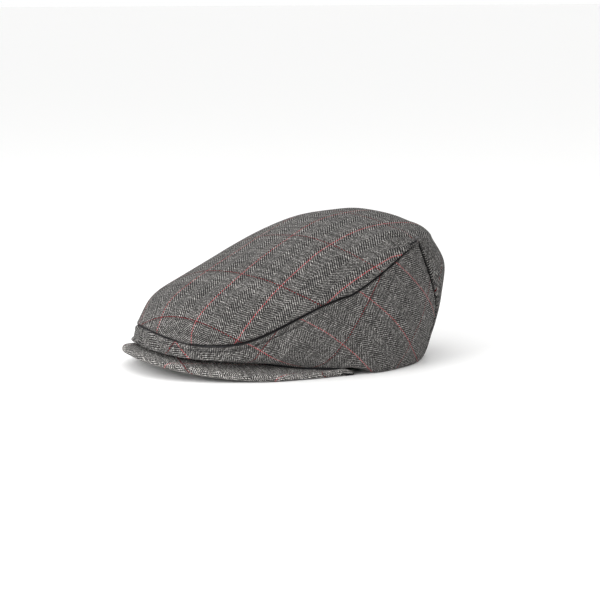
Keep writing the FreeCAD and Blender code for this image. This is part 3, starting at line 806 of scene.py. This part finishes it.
def solid_finish(name, colour, spread, scale, rough, metallic=0.0, depth=0.0001):
    """A finish that varies softly through the solid, for pieces without a cloth map."""
    material, tree, principled = shader(name, rough)
    place = tree.nodes.new("ShaderNodeTexCoord").outputs["Object"]
    cloud = noise(tree, place, scale, 4.0, 0.65)
    tone = calc(tree, "MULTIPLY_ADD", cloud, spread, 1 - spread / 2)
    plug(tree, principled.inputs["Base Color"], toned(tree, colour, tone))
    plug(tree, principled.inputs["Roughness"], calc(tree, "MULTIPLY_ADD", cloud, 0.3, rough - 0.15))
    principled.inputs["Metallic"].default_value = metallic
    add_bump(tree, principled, cloud, depth, 0.6)
    return material


felt_wool = solid_finish("felt_wool", (0.2, 0.2, 0.2), 1.2, 900.0, 0.9, 0.0, 0.0003)
board_pulp = solid_finish("peak_board", (0.07, 0.07, 0.075), 0.5, 400.0, 0.6, 0.0, 0.0001)
stud_metal = solid_finish("stud_gunmetal", (0.35, 0.34, 0.33), 0.5, 700.0, 0.33, 1.0, 0.00002)
for node, material in (
    ("peak_felt", felt_wool),
    ("peak_board", board_pulp),
    ("snap_stud", stud_metal),
    ("snap_stud_plate", stud_metal),
    ("snap_socket", stud_metal),
    ("snap_socket_plate", stud_metal),
):
    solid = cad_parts[node]
    solid.data.materials.clear()
    solid.data.materials.append(material)
    print(node, "in", material.name)

# %% [markdown]
# ## Interlining and lining
# Under each shell panel lies a canvas that keeps it smooth, and the lining hangs inside that, cut a
# little smaller. They come from the same block as the shell, drawn in by the depth of the plies
# outside them, and the lining's seams are gathered in small puckers.

# %% Inner plies


def inner_ply(name, surface, depth, material, thickness, body, node, slack=0.0, seed=1):
    """A ply that lies that far inside a surface. slack lets it hang in soft puckers."""
    across, along = arc_lengths(surface, 1), arc_lengths(surface, 0)
    edge = np.minimum(across, across[:, -1:] - across)
    hang = slack * (0.5 + 0.5 * ripples(surface, 8, seed))
    hang = hang + slack * 0.5 * np.sin(2 * pi * along / 11) ** 2 * bump(edge, 2, 7)
    moved = surface - normals_of(surface) * (depth + hang)[..., None]
    piece = lay(name, moved, np.stack([across, along], -1), material, thickness)
    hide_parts(node)
    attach(piece, body)
    return piece


# %% Canvas and lining of the top
CANVAS_DEPTH, LINING_DEPTH = 1.75, 2.9
TOP_CANVAS, TOP_LINING = np.s_[18:-4, 10:-10], np.s_[6:-12, 1:-1]  # both stop short of the seams
top_coarse = top_block[::2, ::2]
ply, hung = top_coarse[TOP_CANVAS], top_coarse[TOP_LINING]
inner_ply("top_canvas", ply, CANVAS_DEPTH, canvas, PLY, "crown", "top_interlining")
lining = inner_ply(
    "top_lining_satin", hung, LINING_DEPTH, satin, PLY, "crown", "top_lining", 0.9, 21
)

# %% Canvas and lining of the sides
SIDE_CANVAS = np.s_[40:-9, 42:-9]  # from behind the temple, clear of the seams
LINING_INSET, LINING_RISE, LINING_END = 4.6, 2.5, 0.985


def lining_side_surface(rows, columns):
    """A side lining, from the fold up to just below the top seam."""
    run = crowded(columns, 0.5, 0.5)
    hoops = [hoop(run * end, LINING_INSET) for hoop, end in zip(HOOPS[1:], BACK_ANGLES[1:])]
    dense = catmull(np.array(hoops), 30)
    shares = np.linspace(0, LINING_END, rows)
    grid = np.stack([at_shares(dense[:, k], shares) for k in range(columns)], 1)
    return grid + np.array([0, 0, LINING_RISE])


canvas_left, lining_left = side_block[::2, ::3][SIDE_CANVAS], lining_side_surface(56, 111)
for name, ply, hung in (
    ("left", canvas_left, lining_left),
    ("right", right_side(canvas_left), right_side(lining_left)),
):
    inner_ply(
        f"{name}_canvas", ply, CANVAS_DEPTH, canvas, PLY, "crown", f"{name}_interlining"
    )
    lining = inner_ply(
        f"{name}_lining_satin", hung, 0.0, satin, PLY, "crown", f"{name}_lining", 0.8, 22
    )

# %% [markdown]
# ## Sweatband, ribbon, tape and label
# The sweatband is a ribbed cotton ribbon that stands on edge round the opening. A grosgrain ribbon
# covers the join at the nape, a small blank label is sewn on it, and a stay tape behind the band
# keeps the hem from stretching. Each is a strip on the egg-shaped outline of the head.

# %% Standing strips


def strip_surface(inset, low, high, spread, rows, columns):
    """A strip on edge that runs that many degrees to each side of the nape."""
    angle = np.linspace(pi - radians(spread), pi + radians(spread), columns)
    x, y = outline([side - inset for side in HEM], 1.0, angle)
    rise = np.linspace(low, high, rows)
    z = hem_height(y)[None] + rise[:, None]
    return np.stack([np.broadcast_to(x, z.shape), np.broadcast_to(y, z.shape), z], -1)


def strip(name, surface, material, thickness, body, node, rolled=0.25):
    """A standing strip whose long edges are slightly rolled."""
    across, along = arc_lengths(surface, 1), arc_lengths(surface, 0)
    edge = np.minimum(along, along[-1:] - along)
    shift = rolled * (bump(edge, 1.4, 0.9) - 1.2 * bump(edge, 2.9, 0.5))
    moved = surface + normals_of(surface) * shift[..., None] * 0.5
    piece = lay(name, moved, np.stack([across, along], -1), material, thickness)
    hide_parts(node)
    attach(piece, body)
    return piece


# %% Band, ribbon and tape
BAND_DROP = 3.1  # behind the peak, the band's lower edge hangs this far below the hem
band = strip_surface(inset=3.3, low=0.3, high=31.7, spread=179.9, rows=41, columns=361)
ahead = np.clip(-band[:1, :, 1] / HEM[1], 0, 1) ** 2
lowered = np.linspace(1, 0, len(band))[:, None] ** 2 * ramp(-band[:1, :, 1], 0, 14)
band[..., 2] -= lowered * (BAND_DROP + HEM_RISE * ahead)
strip("sweatband_ribbed", band, cotton, 1.2, "head_ring", "sweatband")
ribbon = strip_surface(inset=4.75, low=1.2, high=30.8, spread=6.9, rows=25, columns=25)
strip("nape_ribbon", ribbon, grosgrain, 0.5, "head_ring", "nape_strip", 0.1)
tape = strip_surface(inset=2.05, low=1.7, high=9.3, spread=119.0, rows=9, columns=181)
strip("hem_stay_tape", tape, tape_cotton, 0.4, "crown", "stay_tape", 0.1)

# %% Label
LABEL_WIDTH, LABEL_LOW, LABEL_HIGH = 34.0, 9.0, 25.0
BORDER_SIDE, BORDER_END = 2.2, 2.0
half_turn = np.arcsin(LABEL_WIDTH / 2 / (HEM[0] - 5.8)) * 180 / pi
label_surface = strip_surface(6.0, LABEL_LOW, LABEL_HIGH, half_turn, rows=17, columns=35)
label = strip(
    "size_label_woven", label_surface, label_damask, 0.4, "head_ring", "size_label", 0.0
)
label.data.materials.append(label_border)
for face in label.data.polygons:
    x, _, z = face.center * 1000
    at_side = abs(x) > LABEL_WIDTH / 2 - BORDER_SIDE
    if at_side or z < LABEL_LOW + BORDER_END or z > LABEL_HIGH - BORDER_END:
        face.material_index = 1
print("label border faces", sum(face.material_index for face in label.data.polygons))

# %% [markdown]
# ## Stitches
# A stitch is a short thread that dips into the cloth at both ends. One is modelled from a sphere
# drawn out long, and its copies follow the lines of sewing.

# %% Rows of stitches


def sew(name, line, outward, length, gap, radius, body):
    """Stitches along a line of points in millimetres, each on the surface facing outward."""
    bpy.ops.object.select_all(action="DESELECT")
    bpy.ops.mesh.primitive_uv_sphere_add(segments=6, ring_count=5, radius=1.0)
    stitch = bpy.context.object
    stitch.name = name
    mesh = stitch.data
    mesh.name = name
    shape = np.array([v.co for v in mesh.vertices])
    faces = [list(f.vertices) for f in mesh.polygons]
    lengths = np.concatenate([[0], np.cumsum(np.linalg.norm(np.diff(line, axis=0), axis=1))])
    count = int(lengths[-1] // (length + gap))
    middles = (np.arange(count) + 0.5) * lengths[-1] / count
    points, polygons, spots = [], [], []

    def along(values, where):
        return np.array([np.interp(where, lengths, values[:, k]) for k in range(3)])

    for m in middles:
        out = along(outward, m)
        t = along(line, m + 0.5) - along(line, m - 0.5)
        t = t / np.linalg.norm(t)
        out = out - t * (out @ t)
        out /= np.linalg.norm(out)
        side = np.cross(t, out)
        base = len(points) * len(shape)
        lengthwise = along(line, m) + shape[:, 2:3] * t * length / 2
        points.append(lengthwise + shape[:, 0:1] * out * radius + shape[:, 1:2] * side * radius)
        polygons += [[base + v for v in face] for face in faces]
        spots.append(np.stack([m + shape[:, 2] * length / 2, shape[:, 1] * radius], -1))
    new = bpy.data.meshes.new(name)
    new.from_pydata((np.concatenate(points) / 1000).tolist(), [], polygons)
    layer = new.uv_layers.new(name="UVMap")
    loops = np.array([loop.vertex_index for loop in new.loops])
    layer.data.foreach_set("uv", (np.concatenate(spots)[loops] / 1000).astype(np.float32).ravel())
    stitch.data = new
    bpy.data.meshes.remove(mesh)
    new.materials.append(thread_cotton)
    only(stitch)
    bpy.ops.object.mode_set(mode="EDIT")
    bpy.ops.mesh.select_all(action="SELECT")
    bpy.ops.mesh.normals_make_consistent(inside=False)
    bpy.ops.object.mode_set(mode="OBJECT")
    bpy.ops.object.shade_smooth()
    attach(stitch, body)
    print(name, count, "stitches")


def strip_line(inset, height, spread, count=361):
    row = strip_surface(inset, height, height, spread, 2, count)[0]
    toward_head = -np.stack([row[:, 0], row[:, 1], 0 * row[:, 0]], -1)
    return row, toward_head


for place, height in (("upper", 28.8), ("lower", 3.0)):
    line, toward_head = strip_line(4.62, height, 179.0)
    name = f"band_{place}_stitches"
    sew(name, line, toward_head, length=2.6, gap=0.9, radius=0.22, body="head_ring")
for place, height in (("upper", LABEL_HIGH - 1.0), ("lower", LABEL_LOW + 1.0)):
    line, toward_head = strip_line(6.45, height, half_turn - 1.0, 31)
    name = f"label_{place}_stitches"
    sew(name, line, toward_head, length=1.6, gap=0.6, radius=0.16, body="head_ring")

# %% [markdown]
# ## Floor, light and camera
# A pale floor, a large soft light overhead, a stronger one in front and a fill from the side give
# even studio light. The camera looks a little down on the table, from the wearer's left and ahead.

# %% Floor
bpy.ops.object.select_all(action="DESELECT")
bpy.ops.mesh.primitive_plane_add(size=40.0, location=(0, 0, 0))
floor = bpy.context.object
floor.name = "floor"
material, tree, principled = shader("floor_paint", 0.6)
principled.inputs["Base Color"].default_value = (0.94, 0.94, 0.935, 1)
floor.data.materials.append(material)

# %% Light


def area_light(name, place, target, size, power):
    bpy.ops.object.light_add(type="AREA", location=place)
    lamp = bpy.context.object
    lamp.name = name
    lamp.data.size = size
    lamp.data.energy = power
    lamp.rotation_euler = (Vector(target) - Vector(place)).to_track_quat("-Z", "Y").to_euler()
    print(name, power, "W")


area_light("overhead", (0.25, -0.35, 1.5), (0, 0, 0.05), 1.6, 6)
area_light("front_key", (0.55, -1.35, 0.8), (0, -0.05, 0.03), 0.8, 14)
area_light("side_fill", (1.15, -1.25, 0.3), (0, 0, 0.02), 1.0, 10)
world = bpy.context.scene.world or bpy.data.worlds.new("studio")
bpy.context.scene.world = world
world.use_nodes = True
world.node_tree.nodes["Background"].inputs["Color"].default_value = (1, 1, 1, 1)
world.node_tree.nodes["Background"].inputs["Strength"].default_value = 1.0

# %% Camera
azimuth, elevation, distance = radians(66.88), radians(10.18), 1.7
AIM_ACROSS, AIM_UP = -0.0043, 0.0464  # the point looked at, in metres from the origin
right = Vector((cos(azimuth), sin(azimuth), 0))
forward = Vector((-sin(azimuth) * cos(elevation), cos(azimuth) * cos(elevation), -sin(elevation)))
above = right.cross(forward)
bpy.ops.object.camera_add(location=-forward * distance)
camera = bpy.context.object
camera.data.lens = 127.6
camera.data.sensor_width = 36
aim = right * AIM_ACROSS + above * AIM_UP
camera.rotation_euler = (aim - camera.location).to_track_quat("-Z", "Y").to_euler()
bpy.context.scene.camera = camera
bpy.context.scene.view_settings.view_transform = "Standard"
print("camera at", camera.location)
